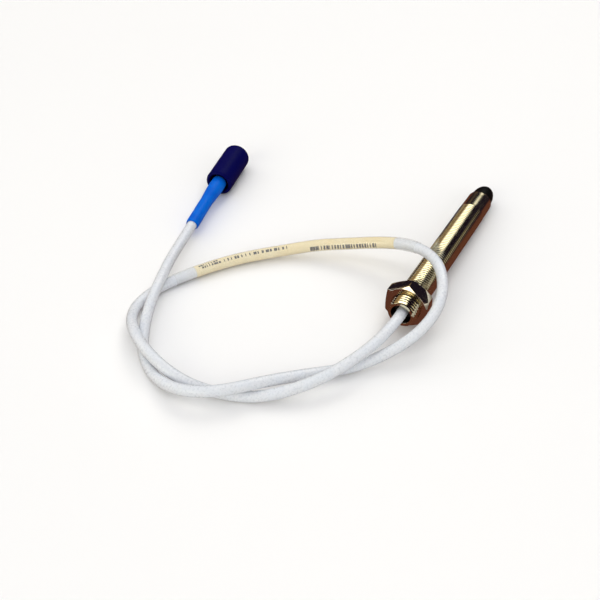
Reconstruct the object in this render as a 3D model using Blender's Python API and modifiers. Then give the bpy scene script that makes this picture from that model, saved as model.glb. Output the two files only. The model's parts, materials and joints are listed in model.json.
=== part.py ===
"""Threaded proximity probe with a coaxial pigtail, a jam nut and a capped miniature connector.

Metres, +Z up. The origin is under the middle of the probe, on the surface it lies on; the probe's tip
points along +X. The probe lies on the front edge of its case and on one corner of its jam nut, so its
axis drops a few degrees towards the tip. The cable leaves the rear, lies in a twisted double loop on
the same surface, crosses over the case once, and ends in the connector under its dust cap.
"""

import math

import bmesh
import bpy
import numpy as np
from mathutils import Matrix, Vector

MM = 0.001

# Probe, measured along its axis from the rear face of the case
CASE_RADIUS = 9.525 / 2 * MM
CASE_FRONT_RADIUS = 4.6 * MM
CASE_BORE_RADIUS = 3.3 * MM
CASE_LENGTH = 75.0 * MM
THREAD_END = 64.8 * MM
CASE_CHAMFER = 0.5 * MM
PROBE_LENGTH = 83.8 * MM
TIP_RADIUS = 3.95 * MM
TIP_DOME_LENGTH = 7.3 * MM
TIP_DOME_POWER = 2.2
TIP_SHANK_RADIUS = 3.0 * MM
TIP_SHANK_LENGTH = 9.0 * MM
TIP_WALL = 0.8 * MM
TIP_END_WALL = 2.2 * MM
RECESS_DEPTH = 3.0 * MM
GAP = 0.3 * MM

# Jam nut
NUT_ACROSS_FLATS = 14.29 * MM
NUT_THICKNESS = 4.76 * MM
NUT_REAR_FACE = 4.2 * MM
NUT_FACE_RADIUS = 6.95 * MM
NUT_CHAMFER_ANGLE = math.radians(30)
NUT_BORE_RADIUS = CASE_RADIUS + GAP

# Cable and what is shrunk on it
CABLE_RADIUS = 1.8 * MM
LABEL_RADII = (1.90 * MM, 2.00 * MM)
CLEAR_SLEEVE_RADII = (2.10 * MM, 2.22 * MM)
CABLE_SIDES_RESOLUTION = 2
CABLE_STEP = 7.9 * MM
CABLE_START = 1.0 * MM
LABEL_SPAN = (0.321, 0.480)
CLEAR_SLEEVE_SPAN = (0.304, 0.4995)
BLUE_SLEEVE_LENGTH = 25.2 * MM
BLUE_SLEEVE_FRONT = 1.0 * MM
BLUE_SLEEVE_INNER = 2.0 * MM
BLUE_SLEEVE_WALL = 0.3 * MM
BLUE_SLEEVE_TAPER = 9.0 * MM
BLUE_SLEEVE_STEP = 2.5 * MM

# Route of the cable's centre line in millimetres, from the recess in the case to the connector
CABLE_ROUTE_MM = [
    (-49.0, 0.4, 8.9),
    (-54.0, 1.3, 8.5),
    (-64.5, 4.7, 7.6),
    (-74.5, 10.0, 6.3),
    (-82.5, 17.5, 4.0),
    (-88.5, 26.5, 2.1),
    (-92.0, 36.5, 1.9),
    (-93.5, 47.5, 2.6),
    (-93.0, 57.5, 5.4),
    (-88.5, 68.0, 6.1),
    (-80.5, 77.0, 4.2),
    (-71.0, 81.0, 2.0),
    (-60.5, 79.0, 2.0),
    (-50.9, 73.8, 2.35),
    (-41.3, 67.4, 2.35),
    (-32.8, 59.9, 2.5),
    (-25.5, 51.5, 3.0),
    (-19.5, 42.5, 4.4),
    (-15.3, 32.0, 6.4),
    (-12.6, 21.0, 9.2),
    (-12.7, 9.7, 12.4),
    (-17.5, -0.4, 14.7),
    (-26.5, -7.5, 14.5),
    (-36.9, -10.1, 11.9),
    (-46.6, -7.5, 7.8),
    (-55.5, -1.5, 4.3),
    (-63.5, 5.7, 2.3),
    (-70.5, 14.0, 1.9),
    (-78.5, 21.5, 3.4),
    (-88.0, 28.5, 5.8),
    (-95.5, 36.5, 6.2),
    (-98.5, 46.0, 4.9),
    (-96.0, 57.0, 2.3),
    (-90.0, 65.5, 1.9),
    (-81.5, 71.5, 3.2),
    (-72.0, 75.3, 5.6),
    (-61.0, 79.0, 6.0),
    (-50.0, 82.5, 5.4),
    (-39.0, 85.2, 4.9),
    (-28.5, 87.6, 4.6),
    (-17.5, 89.9, 4.8),
]

# Connector, measured along its axis from the mouth of the dust cap
CAP_MOUTH = Vector((-4.75, 92.1, 5.25)) * MM
CONNECTOR_HEADING = math.radians(10.6)
CABLE_END = -1.2 * MM
FERRULE_SPAN = (-4.0 * MM, 1.4 * MM)
FERRULE_RADII = (2.1 * MM, 2.4 * MM)
BODY_END = 12.0 * MM
BODY_RADIUS = 2.2 * MM
BODY_BORE_RADIUS = 1.75 * MM
BODY_WIRE_RADIUS = 0.9 * MM
BODY_WIRE_DEPTH = 3.0 * MM
BODY_CRIMP_RADIUS = 2.6 * MM
BODY_SHOULDER_RADIUS = 3.0 * MM
PIN_RADIUS = 0.45 * MM
PIN_LENGTH = 2.8 * MM
SNAP_GROOVE_RADIUS = 1.9 * MM
SNAP_RING_RADII = (2.0 * MM, 2.45 * MM)
COUPLING_RADIUS = 3.5 * MM
COUPLING_BORE_RADIUS = 2.6 * MM
COUPLING_NECK_RADIUS = 2.4 * MM
COUPLING_FRONT = 17.0 * MM
COUPLING_CHAMFER = 0.25 * MM
CAP_LENGTH = 21.4 * MM
CAP_RADIUS = 5.15 * MM
CAP_BORE_RADIUS = 3.9 * MM
CAP_END_WALL = 1.6 * MM
CAP_END_ROUNDING = 2.2 * MM
CAP_RIM_ROUNDING = 1.0 * MM
CAP_LIP = 0.25 * MM

CASE_ROUND = 64
ROUND = 48
CONNECTOR_ROUND = 36
SMALL_ROUND = 24
PIN_ROUND = 16
LEAD_ROUND = 12
MERGE_DISTANCE = 0.01 * MM
GUIDE_OVERLAP = 0.0001 * MM

parts = bpy.data.collections.new("proximity_probe")
guides = bpy.data.collections.new("cutters")


def clear_scene():
    for old in list(bpy.data.objects):
        bpy.data.objects.remove(old, do_unlink=True)
    bpy.context.scene.collection.children.link(parts)
    bpy.context.scene.collection.children.link(guides)


def material(name, colour, roughness, metallic=0.0):
    made = bpy.data.materials.new(name)
    made.use_nodes = True
    shader = made.node_tree.nodes["Principled BSDF"]
    shader.inputs["Base Color"].default_value = (*colour, 1.0)
    shader.inputs["Roughness"].default_value = roughness
    shader.inputs["Metallic"].default_value = metallic
    return made


def add(name, data, finish, parent=None, collection=None):
    piece = bpy.data.objects.new(name, data)
    (collection or parts).objects.link(piece)
    data.materials.append(finish)
    piece.parent = parent
    return piece


def empty(name, location, rotation):
    frame = bpy.data.objects.new(name, None)
    parts.objects.link(frame)
    frame.location = location
    frame.rotation_euler = rotation
    return frame


def signed_area(profile):
    """Twice the area inside a closed outline, negative when it runs clockwise."""
    total = 0.0
    for (r0, z0), (r1, z1) in zip(profile, profile[1:] + profile[:1]):
        total += r0 * z1 - r1 * z0
    return total


def turned(name, profile, finish, parent=None, closed=True, segments=ROUND, collection=None):
    """A body turned about its own Z axis from (radius, height) points; an open profile ends on the axis."""
    if signed_area(profile) > 0:
        profile = profile[::-1]
    mesh = bpy.data.meshes.new(name)
    edges = [(i, i + 1) for i in range(len(profile) - 1)]
    if closed:
        edges.append((len(profile) - 1, 0))
    mesh.from_pydata([(radius, 0.0, height) for radius, height in profile], edges, [])
    piece = add(name, mesh, finish, parent, collection)
    screw = piece.modifiers.new("Turn", "SCREW")
    screw.axis = "Z"
    screw.angle = math.tau
    screw.steps = segments
    screw.render_steps = segments
    screw.use_merge_vertices = True
    screw.merge_threshold = MERGE_DISTANCE
    screw.use_smooth_shade = True
    return piece


def ring(name, span, radii, finish, parent, segments=ROUND, chamfer=0.0):
    """A plain tube between two heights and two radii, with its outer edges chamfered."""
    low, high = span
    inner, outer = radii
    profile = [
        (inner, low),
        (outer - chamfer, low),
        (outer, low + chamfer),
        (outer, high - chamfer),
        (outer - chamfer, high),
        (inner, high),
    ]
    if chamfer == 0.0:
        profile = [(inner, low), (outer, low), (outer, high), (inner, high)]
    return turned(name, profile, finish, parent, segments=segments)


def rod(name, span, radius, finish, parent, segments=SMALL_ROUND):
    """A solid bar between two heights."""
    low, high = span
    profile = [(0.0, low), (radius, low), (radius, high), (0.0, high)]
    return turned(name, profile, finish, parent, closed=False, segments=segments)


def arc(centre, radius, start, end, count):
    """Points of an arc in the (radius, height) plane, angles in degrees from the radial direction."""
    points = []
    for i in range(count + 1):
        angle = math.radians(start + (end - start) * i / count)
        points.append((centre[0] + radius * math.cos(angle), centre[1] + radius * math.sin(angle)))
    return points


def dome(base, radius, length, power, count=10):
    """Points of a blunt dome in the (radius, height) plane, from its base to its end on the axis."""
    points = []
    for i in range(count):
        angle = math.pi / 2 * i / count
        across = radius * math.cos(angle) ** (2 / power)
        points.append((across, base + length * math.sin(angle) ** (2 / power)))
    points.append((0.0, base + length))
    return points


def spline_through(points):
    """A natural cubic spline through the points: dense samples and their distance along it."""
    points = np.array(points, dtype=float)
    knots = np.concatenate([[0.0], np.cumsum(np.linalg.norm(np.diff(points, axis=0), axis=1))])
    gaps = np.diff(knots)
    count = len(points)
    system = np.eye(count)
    right = np.zeros_like(points)
    for i in range(1, count - 1):
        system[i, i - 1] = gaps[i - 1]
        system[i, i] = 2 * (gaps[i - 1] + gaps[i])
        system[i, i + 1] = gaps[i]
        slope_after = (points[i + 1] - points[i]) / gaps[i]
        slope_before = (points[i] - points[i - 1]) / gaps[i - 1]
        right[i] = 6 * (slope_after - slope_before)
    bend = np.linalg.solve(system, right)
    samples = []
    for i in range(count - 1):
        for t in np.linspace(0.0, 1.0, 24, endpoint=False):
            a, b, h = 1 - t, t, gaps[i]
            straight = a * points[i] + b * points[i + 1]
            curve = ((a**3 - a) * bend[i] + (b**3 - b) * bend[i + 1]) * h * h / 6
            samples.append(straight + curve)
    samples.append(points[-1])
    samples = np.array(samples)
    along = np.concatenate([[0.0], np.cumsum(np.linalg.norm(np.diff(samples, axis=0), axis=1))])
    return samples, along


def stations(samples, along, step):
    """Points of the spline, evenly spaced along it."""
    wanted = np.linspace(0.0, along[-1], round(along[-1] / step) + 1)
    return np.stack([np.interp(wanted, along, samples[:, k]) for k in range(3)], axis=1)


def cut_line(line, start, end):
    """The stretch of a poly line between two distances along it, its own points kept."""
    along = np.concatenate([[0.0], np.cumsum(np.linalg.norm(np.diff(line, axis=0), axis=1))])
    ends = np.stack([np.interp([start, end], along, line[:, k]) for k in range(3)], axis=1)
    inside = line[(along > start + GAP) & (along < end - GAP)]
    return np.vstack([ends[:1], inside, ends[1:]])


def refine(line, step):
    """The same poly line with extra points, none further apart than a step."""
    points = [line[0]]
    for start, end in zip(line, line[1:]):
        count = math.ceil(np.linalg.norm(end - start) / step)
        points += [start + (end - start) * i / count for i in range(1, count + 1)]
    return np.array(points)


def tube_curve(name, points, radius, finish, capped, factors=None):
    """A round tube along a poly line; the factors scale its radius point by point."""
    data = bpy.data.curves.new(name, "CURVE")
    data.dimensions = "3D"
    data.twist_mode = "Z_UP"
    data.bevel_depth = radius
    data.bevel_resolution = CABLE_SIDES_RESOLUTION
    data.use_fill_caps = capped
    line = data.splines.new("POLY")
    line.points.add(len(points) - 1)
    for i, (target, place) in enumerate(zip(line.points, points)):
        target.co = (*place, 1.0)
        target.radius = factors[i] if factors is not None else 1.0
    return add(name, data, finish)


def sleeve(name, points, radii, finish, factors=None):
    """A thin open-ended sheath along a poly line, from its inner to its outer radius."""
    inner, outer = radii
    piece = tube_curve(name, points, inner, finish, False, factors)
    wall = piece.modifiers.new("Wall", "SOLIDIFY")
    wall.thickness = outer - inner
    wall.offset = 1.0
    wall.use_even_offset = True
    return piece


def hexagon(name, across_flats, low, high, finish, parent, collection=None):
    """A hexagonal prism about the parent's Z axis, with a corner on its +X side."""
    mesh = bpy.data.meshes.new(name)
    shape = bmesh.new()
    radius = across_flats / 2 / math.cos(math.pi / 6)
    bmesh.ops.create_cone(
        shape, cap_ends=True, segments=6, radius1=radius, radius2=radius, depth=high - low
    )
    bmesh.ops.rotate(shape, verts=shape.verts, matrix=Matrix.Rotation(math.radians(30), 3, "Z"))
    bmesh.ops.translate(shape, verts=shape.verts, vec=(0.0, 0.0, (low + high) / 2))
    shape.to_mesh(mesh)
    shape.free()
    return add(name, mesh, finish, parent, collection)


def boolean(piece, cutter, operation):
    """Cut or trim a piece; the cutter stays as a hidden guide."""
    cutter.hide_render = True
    cutter.display_type = "WIRE"
    step = piece.modifiers.new(operation.title(), "BOOLEAN")
    step.operation = operation
    step.solver = "EXACT"
    step.object = cutter


clear_scene()

steel = material("stainless_steel", (0.62, 0.58, 0.47), 0.28, 1.0)
nut_steel = material("nut_steel", (0.60, 0.55, 0.45), 0.25, 1.0)
black_plastic = material("tip_plastic", (0.02, 0.02, 0.022), 0.4)
bobbin_plastic = material("bobbin_plastic", (0.75, 0.71, 0.60), 0.5)
copper = material("copper", (0.72, 0.36, 0.18), 0.3, 1.0)
epoxy = material("epoxy", (0.03, 0.03, 0.03), 0.55)
braid_metal = material("braid", (0.60, 0.60, 0.60), 0.4, 1.0)
jacket = material("jacket", (0.74, 0.78, 0.82), 0.35)
inner_plastic = material("inner_plastic", (0.88, 0.88, 0.86), 0.4)
label_film = material("label_film", (0.84, 0.80, 0.62), 0.4)
clear_film = material("clear_film", (0.86, 0.87, 0.86), 0.2)
blue_film = material("blue_film", (0.02, 0.27, 0.72), 0.35)
navy_plastic = material("navy_plastic", (0.015, 0.01, 0.14), 0.35)
gold = material("gold_plate", (0.80, 0.60, 0.25), 0.25, 1.0)
rubber = material("seal_rubber", (0.35, 0.10, 0.08), 0.6)

# The probe lies on its case's front edge and on one corner of the nut, at the end of the nut's chamfer
nut_corner = NUT_ACROSS_FLATS / 2 / math.cos(math.pi / 6)
corner_chamfer = (nut_corner - NUT_FACE_RADIUS) * math.tan(NUT_CHAMFER_ANGLE)
nut_contact = NUT_REAR_FACE + NUT_THICKNESS - corner_chamfer
case_contact = CASE_LENGTH - CASE_CHAMFER
tilt = math.atan((nut_corner - CASE_FRONT_RADIUS) / (case_contact - nut_contact))
axis_height = case_contact * math.sin(tilt) + CASE_FRONT_RADIUS * math.cos(tilt)
rear_overhang = (CASE_RADIUS - CASE_CHAMFER) * math.sin(tilt)
rear_x = -(PROBE_LENGTH * math.cos(tilt) - rear_overhang) / 2
probe = empty("probe_axis", (rear_x, 0.0, axis_height), (0.0, math.pi / 2 + tilt, 0.0))


def on_axis(distance):
    """The world point on the probe's axis at a distance from its rear face."""
    return Vector(
        (rear_x + distance * math.cos(tilt), 0.0, axis_height - distance * math.sin(tilt))
    )


# Case: a tube of the thread's outer diameter, slimmer at its unthreaded front, with chamfered ends
thread_step = CASE_RADIUS - CASE_FRONT_RADIUS
turned(
    "case",
    [
        (CASE_BORE_RADIUS, 0.0),
        (CASE_RADIUS - CASE_CHAMFER, 0.0),
        (CASE_RADIUS, CASE_CHAMFER),
        (CASE_RADIUS, THREAD_END),
        (CASE_FRONT_RADIUS, THREAD_END + thread_step),
        (CASE_FRONT_RADIUS, CASE_LENGTH - CASE_CHAMFER),
        (CASE_FRONT_RADIUS - CASE_CHAMFER, CASE_LENGTH),
        (CASE_BORE_RADIUS, CASE_LENGTH),
    ],
    steel,
    probe,
    segments=CASE_ROUND,
)

# Tip: a domed cup whose shank sits in the front of the case
tip_step = CASE_LENGTH + GAP
shank_start = CASE_LENGTH - TIP_SHANK_LENGTH
cup_radius = TIP_SHANK_RADIUS - TIP_WALL
cup_floor = PROBE_LENGTH - TIP_END_WALL
turned(
    "tip",
    [
        (0.0, cup_floor),
        (cup_radius, cup_floor),
        (cup_radius, shank_start),
        (TIP_SHANK_RADIUS, shank_start),
        (TIP_SHANK_RADIUS, tip_step),
        (TIP_RADIUS, tip_step),
        *dome(PROBE_LENGTH - TIP_DOME_LENGTH, TIP_RADIUS, TIP_DOME_LENGTH, TIP_DOME_POWER),
    ],
    black_plastic,
    probe,
    closed=False,
)

# Coil in the tip: a flanged former and the winding between its flanges
former_radius = cup_radius - GAP
former_core = 0.9 * MM
flange = 0.5 * MM
coil_width = 2.2 * MM
former_end = cup_floor - GAP
former_start = former_end - coil_width - 2 * flange
turned(
    "coil_former",
    [
        (0.0, former_start),
        (former_radius, former_start),
        (former_radius, former_start + flange),
        (former_core, former_start + flange),
        (former_core, former_end - flange),
        (former_radius, former_end - flange),
        (former_radius, former_end),
        (0.0, former_end),
    ],
    bobbin_plastic,
    probe,
    closed=False,
    segments=SMALL_ROUND,
)
winding_gap = 0.15 * MM
ring(
    "coil_winding",
    (former_start + flange + winding_gap, former_end - flange - winding_gap),
    (former_core + winding_gap, former_radius - winding_gap),
    copper,
    probe,
    SMALL_ROUND,
)

# Cable end inside the case, stripped back layer by layer, each layer shown as the length it leaves bare
layers = [
    ("cable_end_jacket", 17.0, CABLE_RADIUS, jacket),
    ("outer_braid", 5.0, 1.5 * MM, braid_metal),
    ("inner_jacket", 4.0, 1.3 * MM, inner_plastic),
    ("inner_braid", 5.0, 1.0 * MM, braid_metal),
    ("dielectric", 4.0, 0.75 * MM, inner_plastic),
    ("centre_conductor", 3.0, 0.3 * MM, copper),
]
layer_start = CABLE_START + GAP
layer_ends = {}
for layer_name, layer_length, layer_radius, layer_finish in layers:
    layer_end = layer_start + layer_length * MM
    rod(layer_name, (layer_start, layer_end), layer_radius, layer_finish, probe)
    layer_ends[layer_name] = layer_end
    layer_start = layer_end + GAP
grip_radius = CABLE_RADIUS + GAP
seal_span = (RECESS_DEPTH, 6.0 * MM)
seal_radii = (grip_radius, 3.1 * MM)
ring("rear_seal", seal_span, seal_radii, epoxy, probe)
anchor_span = (7.0 * MM, 15.0 * MM)
anchor_radii = (grip_radius, 2.9 * MM)
anchor_chamfer = 0.3 * MM
ring("cable_anchor", anchor_span, anchor_radii, steel, probe, ROUND, anchor_chamfer)

# Front potting with the two holes that the leads pass through
lead_offset = 1.4 * MM
lead_radius = 0.25 * MM
potting_start = 56.0 * MM
potting_end = 63.0 * MM
potting_radius = 2.9 * MM
guide_margin = 1.0 * MM
hole_span = (potting_start - guide_margin, potting_end + guide_margin)
potting = rod("front_potting", (potting_start, potting_end), potting_radius, epoxy, probe, ROUND)
for side in (-1, 1):
    hole = rod(f"lead_hole_{side + 1}", hole_span, lead_radius + GAP, epoxy, probe, PIN_ROUND)
    parts.objects.unlink(hole)
    guides.objects.link(hole)
    hole.location.y = side * lead_offset
    boolean(potting, hole, "DIFFERENCE")

# Leads from the stripped cable end to the coil, one from each conductor
lead_end = former_start - GAP
for lead_name, side, lead_start in (
    ("signal_lead", 1, layer_ends["centre_conductor"] + GAP),
    ("return_lead", -1, layer_ends["inner_braid"] + GAP),
):
    lead = rod(lead_name, (lead_start, lead_end), lead_radius, copper, probe, LEAD_ROUND)
    lead.location.y = side * lead_offset

# Jam nut: a hexagonal prism trimmed by the chamfer's double cone, with a clearance bore
nut_end = NUT_REAR_FACE + NUT_THICKNESS
nut = hexagon("jam_nut", NUT_ACROSS_FLATS, NUT_REAR_FACE, nut_end, nut_steel, probe)
cone_rise = 2.0 * MM
cone_reach = NUT_FACE_RADIUS + cone_rise / math.tan(NUT_CHAMFER_ANGLE)
chamfer_guide = turned(
    "nut_chamfer",
    [
        (0.0, NUT_REAR_FACE - GUIDE_OVERLAP),
        (NUT_FACE_RADIUS, NUT_REAR_FACE - GUIDE_OVERLAP),
        (cone_reach, NUT_REAR_FACE + cone_rise),
        (cone_reach, nut_end - cone_rise),
        (NUT_FACE_RADIUS, nut_end + GUIDE_OVERLAP),
        (0.0, nut_end + GUIDE_OVERLAP),
    ],
    nut_steel,
    probe,
    closed=False,
    segments=ROUND,
    collection=guides,
)
boolean(nut, chamfer_guide, "INTERSECT")
bore_span = (NUT_REAR_FACE - guide_margin, nut_end + guide_margin)
bore_guide = rod("nut_bore", bore_span, NUT_BORE_RADIUS, nut_steel, probe, ROUND)
parts.objects.unlink(bore_guide)
guides.objects.link(bore_guide)
boolean(nut, bore_guide, "DIFFERENCE")

# Cable: from inside the rear recess, straight out, round the route, to the back of the connector
heading = Vector((math.cos(CONNECTOR_HEADING), math.sin(CONNECTOR_HEADING), 0.0))
straight_in = 5.0 * MM
straight_out = 2.5 * MM
cable_last = CAP_MOUTH + heading * CABLE_END
cable_ahead = cable_last - heading * straight_in
route = [on_axis(CABLE_START), on_axis(-straight_out)]
route += [Vector(point) * MM for point in CABLE_ROUTE_MM]
route += [cable_ahead, cable_last]
samples, along = spline_through(route)
cable_points = stations(samples, along, CABLE_STEP)
cable_length = float(np.linalg.norm(np.diff(cable_points, axis=0), axis=1).sum())
tube_curve("cable", cable_points, CABLE_RADIUS, jacket, True)

# Printed label and the clear sleeve shrunk over it
for film_name, span, radii, film in (
    ("label", LABEL_SPAN, LABEL_RADII, label_film),
    ("clear_sleeve", CLEAR_SLEEVE_SPAN, CLEAR_SLEEVE_RADII, clear_film),
):
    film_points = cut_line(cable_points, span[0] * cable_length, span[1] * cable_length)
    sleeve(film_name, film_points, radii, film)

# Blue sleeve, wider where it is shrunk over the crimp ferrule
tail = cut_line(cable_points, cable_length - BLUE_SLEEVE_LENGTH, cable_length)
tail = np.vstack([tail, np.array([CAP_MOUTH + heading * BLUE_SLEEVE_FRONT])])
sleeve_points = refine(tail, BLUE_SLEEVE_STEP)
octagon = math.cos(math.pi / 8)
ferrule_clearance = 0.1 * MM
widest = (FERRULE_RADII[1] / octagon + ferrule_clearance) / BLUE_SLEEVE_INNER
sleeve_factors = []
for point in sleeve_points:
    behind_ferrule = FERRULE_SPAN[0] - (Vector(point) - CAP_MOUTH).dot(heading)
    narrowing = min(1.0, max(0.0, behind_ferrule / BLUE_SLEEVE_TAPER))
    sleeve_factors.append(widest + (1.0 - widest) * narrowing)
sleeve_radii = (BLUE_SLEEVE_INNER, BLUE_SLEEVE_INNER + BLUE_SLEEVE_WALL)
sleeve("blue_sleeve", sleeve_points, sleeve_radii, blue_film, sleeve_factors)

# Connector, its axis level
connector = empty("connector_axis", CAP_MOUTH, (0.0, math.pi / 2, CONNECTOR_HEADING))
ring("crimp_ferrule", FERRULE_SPAN, FERRULE_RADII, gold, connector, SMALL_ROUND)
body_start = FERRULE_SPAN[1] + GAP
shoulder_start = body_start + 2.5 * MM
shoulder_end = shoulder_start + 2.0 * MM
groove_start = shoulder_end + 1.5 * MM
groove_end = groove_start + 0.7 * MM
wire_end = body_start + BODY_WIRE_DEPTH
turned(
    "connector_body",
    [
        (BODY_WIRE_RADIUS, body_start),
        (BODY_CRIMP_RADIUS, body_start),
        (BODY_CRIMP_RADIUS, shoulder_start),
        (BODY_SHOULDER_RADIUS, shoulder_start),
        (BODY_SHOULDER_RADIUS, shoulder_end),
        (BODY_RADIUS, shoulder_end),
        (BODY_RADIUS, groove_start),
        (SNAP_GROOVE_RADIUS, groove_start),
        (SNAP_GROOVE_RADIUS, groove_end),
        (BODY_RADIUS, groove_end),
        (BODY_RADIUS, BODY_END),
        (BODY_BORE_RADIUS, BODY_END),
        (BODY_BORE_RADIUS, wire_end),
        (BODY_WIRE_RADIUS, wire_end),
    ],
    gold,
    connector,
    segments=CONNECTOR_ROUND,
)
insulator_setback = 0.5 * MM
insulator_gap = 0.15 * MM
insulator_span = (wire_end + GAP, BODY_END - insulator_setback)
insulator_radii = (PIN_RADIUS + insulator_gap, BODY_BORE_RADIUS - insulator_gap)
ring("connector_insulator", insulator_span, insulator_radii, inner_plastic, connector, SMALL_ROUND)
pin_start = body_start + insulator_setback
pin_end = BODY_END + PIN_LENGTH
turned(
    "connector_pin",
    [
        (0.0, pin_start),
        (PIN_RADIUS, pin_start),
        (PIN_RADIUS, pin_end - 2 * PIN_RADIUS),
        (PIN_RADIUS / 3, pin_end),
        (0.0, pin_end),
    ],
    gold,
    connector,
    closed=False,
    segments=PIN_ROUND,
)
snap_gap = 0.1 * MM
snap_span = (groove_start + snap_gap, groove_end - snap_gap)
ring("snap_ring", snap_span, SNAP_RING_RADII, gold, connector, SMALL_ROUND)
nut_back = shoulder_end + GAP
neck_end = groove_start - snap_gap
turned(
    "coupling_nut",
    [
        (COUPLING_NECK_RADIUS, nut_back),
        (COUPLING_RADIUS - COUPLING_CHAMFER, nut_back),
        (COUPLING_RADIUS, nut_back + COUPLING_CHAMFER),
        (COUPLING_RADIUS, COUPLING_FRONT - COUPLING_CHAMFER),
        (COUPLING_RADIUS - COUPLING_CHAMFER, COUPLING_FRONT),
        (COUPLING_BORE_RADIUS, COUPLING_FRONT),
        (COUPLING_BORE_RADIUS, neck_end),
        (COUPLING_NECK_RADIUS, neck_end),
    ],
    gold,
    connector,
    segments=CONNECTOR_ROUND,
)
gasket_start = groove_end + 0.3 * MM
gasket_span = (gasket_start, gasket_start + 1.0 * MM)
gasket_radii = (BODY_RADIUS + 0.1 * MM, COUPLING_BORE_RADIUS - 0.1 * MM)
ring("gasket", gasket_span, gasket_radii, rubber, connector, SMALL_ROUND)

# Dust cap: a blind push-on sleeve with rounded ends
inside_end = CAP_LENGTH - CAP_END_WALL
rim_centre = (CAP_RADIUS - CAP_RIM_ROUNDING, CAP_RIM_ROUNDING)
end_centre = (CAP_RADIUS - CAP_END_ROUNDING, CAP_LENGTH - CAP_END_ROUNDING)
turned(
    "dust_cap",
    [
        (0.0, inside_end),
        (CAP_BORE_RADIUS, inside_end),
        (CAP_BORE_RADIUS, CAP_LIP),
        (CAP_BORE_RADIUS + CAP_LIP / 2, 0.0),
        *arc(rim_centre, CAP_RIM_ROUNDING, -90, 0, 4),
        *arc(end_centre, CAP_END_ROUNDING, 0, 90, 6),
        (0.0, CAP_LENGTH),
    ],
    navy_plastic,
    connector,
    closed=False,
)
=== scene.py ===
import json
import math

import bmesh
import bpy
import numpy as np
from mathutils import Matrix, Vector


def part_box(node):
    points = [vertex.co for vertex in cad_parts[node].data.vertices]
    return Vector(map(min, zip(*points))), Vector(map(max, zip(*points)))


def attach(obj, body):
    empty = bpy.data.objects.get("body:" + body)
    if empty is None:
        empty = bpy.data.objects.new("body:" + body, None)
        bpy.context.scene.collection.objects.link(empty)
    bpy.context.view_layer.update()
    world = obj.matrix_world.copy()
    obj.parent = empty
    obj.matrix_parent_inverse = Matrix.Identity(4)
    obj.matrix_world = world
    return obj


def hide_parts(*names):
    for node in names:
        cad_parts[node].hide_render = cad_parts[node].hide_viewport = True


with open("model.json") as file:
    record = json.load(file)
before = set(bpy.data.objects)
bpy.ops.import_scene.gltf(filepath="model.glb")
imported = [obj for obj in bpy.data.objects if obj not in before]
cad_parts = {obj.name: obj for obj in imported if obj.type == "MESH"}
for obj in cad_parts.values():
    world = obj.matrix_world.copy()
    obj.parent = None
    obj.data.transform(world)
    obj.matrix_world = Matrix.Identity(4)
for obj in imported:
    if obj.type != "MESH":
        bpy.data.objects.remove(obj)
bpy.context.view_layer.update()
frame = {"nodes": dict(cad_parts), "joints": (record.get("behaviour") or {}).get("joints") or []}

# Looks of the threaded proximity probe: the cut thread, the jam nut, the coaxial cable with its printed
# label, sleeves and connector, and the studio around them. Metres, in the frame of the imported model.

MM = 0.001

# Thread of the case, 3/8-24 UNF, and the case itself. Between the two radii of the bore shade's edge, the
# dark colour painted on the bore's wall as shade gives way to steel.
PITCH = 25.4 / 24 * MM
MAJOR_RADIUS = 9.525 / 2 * MM
CASE_LENGTH = 75.0 * MM
CASE_FRONT_RADIUS = 4.6 * MM
CASE_FRONT_TAPER = 0.08 * MM
CASE_FRONT_TAPER_LENGTH = 8.0 * MM
CASE_CHAMFER = 0.5 * MM
THREAD_END = 64.8 * MM
BORE_RADIUS = 3.3 * MM
BORE_EDGE = 0.15 * MM
PAINTED_BORE_SHADE_EDGE = (3.35 * MM, 3.5 * MM)
CASE_COLUMNS = 72
CASE_SHARP_ANGLE = 45

# Jam nut
NUT_ACROSS_FLATS = 14.29 * MM
NUT_SPAN = (4.2 * MM, 8.96 * MM)
NUT_FACE_RADIUS = 6.95 * MM
NUT_MOUTH = 0.45 * MM
NUT_COUNTERSINK = 0.35 * MM
NUT_CLEARANCE = 0.1 * MM
NUT_EDGE = 0.1 * MM
NUT_CORNER_SOFTNESS = 0.05 * MM
NUT_CHAMFER_ANGLE = 30
NUT_COLUMNS = 180
NUT_SHARP_ANGLE = 24

# Tip
TIP_RADIUS = 3.95 * MM
TIP_DOME_LENGTH = 7.3 * MM
TIP_DOME_POWER = 2.2
TIP_DOME_STEPS = 24
TIP_SHANK_RADIUS = 3.0 * MM
TIP_SHANK_LENGTH = 9.0 * MM
TIP_CUP_WALL = 0.8 * MM
TIP_END_WALL = 2.2 * MM
TIP_GAP = 0.05 * MM
TIP_RIM_EDGE = 0.1 * MM
TIP_COLUMNS = 64
TIP_SHARP_ANGLE = 40
PROBE_LENGTH = 83.8 * MM

# Cable and what is shrunk on it; the two spans are shares of the cable's length
CABLE_RADIUS = 1.8 * MM
CABLE_START = 1.0 * MM
CABLE_END = -1.2 * MM
CABLE_STRAIGHT_REAR = 2.5 * MM
CABLE_STRAIGHT_FRONT = 5.0 * MM
FLOOR_GAP = 0.02 * MM
SAMPLES_PER_GAP = 24
CABLE_STEP = 1.2 * MM
CABLE_COLUMNS = 24
LABEL_RADII = (1.84 * MM, 1.98 * MM)
CLEAR_SLEEVE_RADII = (2.06 * MM, 2.2 * MM)
LABEL_SPAN = (0.321, 0.480)
CLEAR_SLEEVE_SPAN = (0.304, 0.4995)
CLEAR_SLEEVE_END = 5 * MM
CLEAR_SLEEVE_TIGHTENING = 0.12 * MM
FILM_STEP = 1.0 * MM
FILM_COLUMNS = 32
BLUE_SLEEVE_LENGTH = 25.2 * MM
BLUE_SLEEVE_FRONT = 1.0 * MM
BLUE_SLEEVE_RADIUS = 1.95 * MM
BLUE_SLEEVE_SWELLING = 0.45 * MM
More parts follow.
